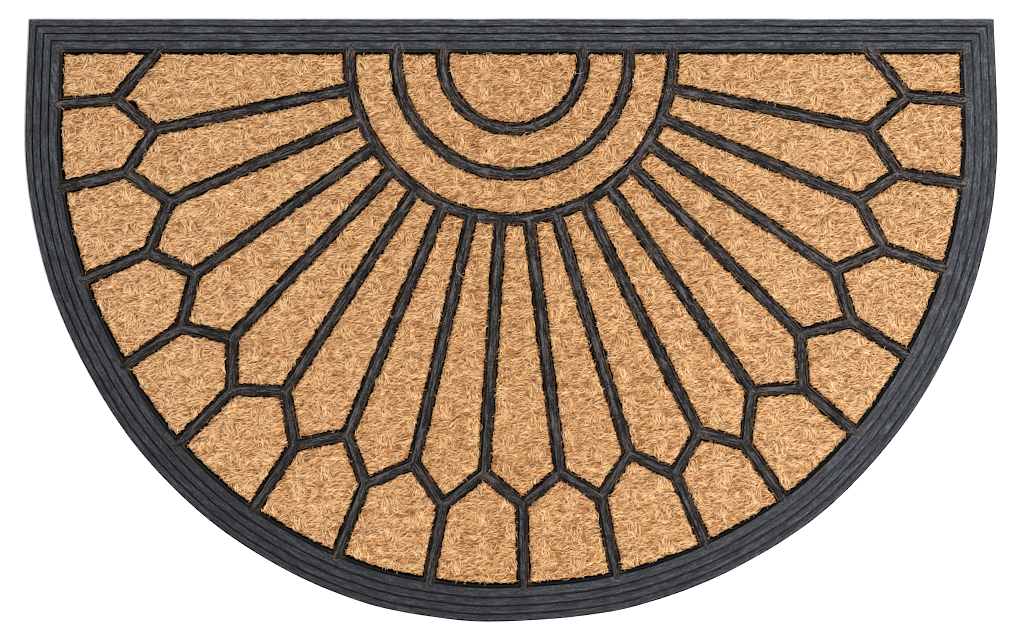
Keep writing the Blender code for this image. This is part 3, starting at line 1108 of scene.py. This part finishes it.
def make_fibre_piece(name, arrays, material):
    points, faces, tone, hue = arrays
    # On the baked picture a fibre lies where its own tone and hue are, its corners slightly apart.
    turn = 2.4 * np.arange(len(points))
    around = 0.008 * np.stack((np.cos(turn), np.sin(turn)), 1)
    by_colour = np.clip(np.stack((tone, hue), 1), 0.01, 0.99) + around
    piece = make_mesh(name, points, faces, {"tone": tone, "hue": hue}, by_colour[faces])
    piece.data.materials.append(material)
    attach(piece, BODY)


def fibre_groups(cuts):
    """The panels in groups whose fibres make one mesh each."""
    rays = [cut for cut in cuts if "ray" in cut.node]
    rims = [cut for cut in cuts if "rim" in cut.node]
    return {
        "fibres_middle": [cut for cut in cuts if cut not in rays and cut not in rims],
        "fibres_rays_left": rays[:6],
        "fibres_rays_front": rays[6:11],
        "fibres_rays_right": rays[11:],
        "fibres_rim_left": rims[:9],
        "fibres_rim_right": rims[9:],
    }


def make_coir():
    cuts = [Cut(node, 100 + 3 * number) for number, node in enumerate(PANELS)]
    ground = cloth_material()
    for cut in cuts:
        make_cloth(cut, ground)
    fibre = fibre_material()
    for number, (name, group) in enumerate(fibre_groups(cuts).items()):
        rng = np.random.default_rng(700 + number)
        make_fibre_piece(name, joined([panel_fibres(cut, rng) for cut in group]), fibre)
    rng = np.random.default_rng(800)
    hairs = [edge_hairs(cut, rng) for cut in cuts] + long_curls(cuts, rng)
    make_fibre_piece("loose_hairs", joined(hairs), fibre)


# Floor, lights and camera.


def make_stage():
    mesh = bpy.data.meshes.new("floor")
    far = 4.0
    below = -0.0001
    corners = [(-far, -far, below), (far, -far, below), (far, far, below), (-far, far, below)]
    mesh.from_pydata(corners, [], [(0, 1, 2, 3)])
    floor = bpy.data.objects.new("floor", mesh)
    bpy.context.scene.collection.objects.link(floor)
    material = bpy.data.materials.new("pale floor")
    material.use_nodes = True
    shader = material.node_tree.nodes["Principled BSDF"]
    shader.inputs["Base Color"].default_value = (0.93, 0.93, 0.93, 1)
    shader.inputs["Roughness"].default_value = 0.9
    shader.inputs["Specular IOR Level"].default_value = 0.0
    mesh.materials.append(material)


def add_light(name, place, size, power):
    light = bpy.data.lights.new(name, "AREA")
    light.energy = power
    light.size = size
    lamp = bpy.data.objects.new(name, light)
    lamp.location = place
    lamp.rotation_mode = "QUATERNION"
    lamp.rotation_quaternion = (-Vector(place)).to_track_quat("-Z", "Y")
    bpy.context.scene.collection.objects.link(lamp)


def make_lights():
    world = bpy.data.worlds.new("soft room")
    world.use_nodes = True
    world.node_tree.nodes["Background"].inputs["Color"].default_value = (1, 1, 1, 1)
    world.node_tree.nodes["Background"].inputs["Strength"].default_value = ROOM_LIGHT
    bpy.context.scene.world = world
    for light in LIGHTS:
        add_light(*light)
    bpy.context.scene.view_settings.view_transform = "Standard"


def make_camera():
    """Straight above the mat, from far off, framed as in the photo: 1024 by 640 pixels."""
    camera = bpy.data.cameras.new("camera")
    camera.lens = LENS
    camera.sensor_width = SENSOR
    camera.clip_end = 50.0
    view = bpy.data.objects.new("camera", camera)
    view.location = (0.0004, 0.0005, WIDTH_IN_VIEW * LENS / SENSOR + 0.5 * RUBBER_TOP * MM)
    bpy.context.scene.collection.objects.link(view)
    bpy.context.scene.camera = view


def crispen():
    """The slight sharpening that a camera gives its pictures."""
    scene = bpy.context.scene
    scene.use_nodes = True
    nodes, links = scene.node_tree.nodes, scene.node_tree.links
    nodes.clear()
    layers = nodes.new("CompositorNodeRLayers")
    sharpen = nodes.new("CompositorNodeFilter")
    sharpen.filter_type = "SHARPEN_DIAMOND"
    sharpen.inputs["Fac"].default_value = SHARPENING
    result = nodes.new("CompositorNodeComposite")
    links.new(layers.outputs["Image"], sharpen.inputs["Image"])
    links.new(sharpen.outputs["Image"], result.inputs["Image"])


make_camera()
crispen()
make_stage()
make_lights()
make_moulding()
make_coir()
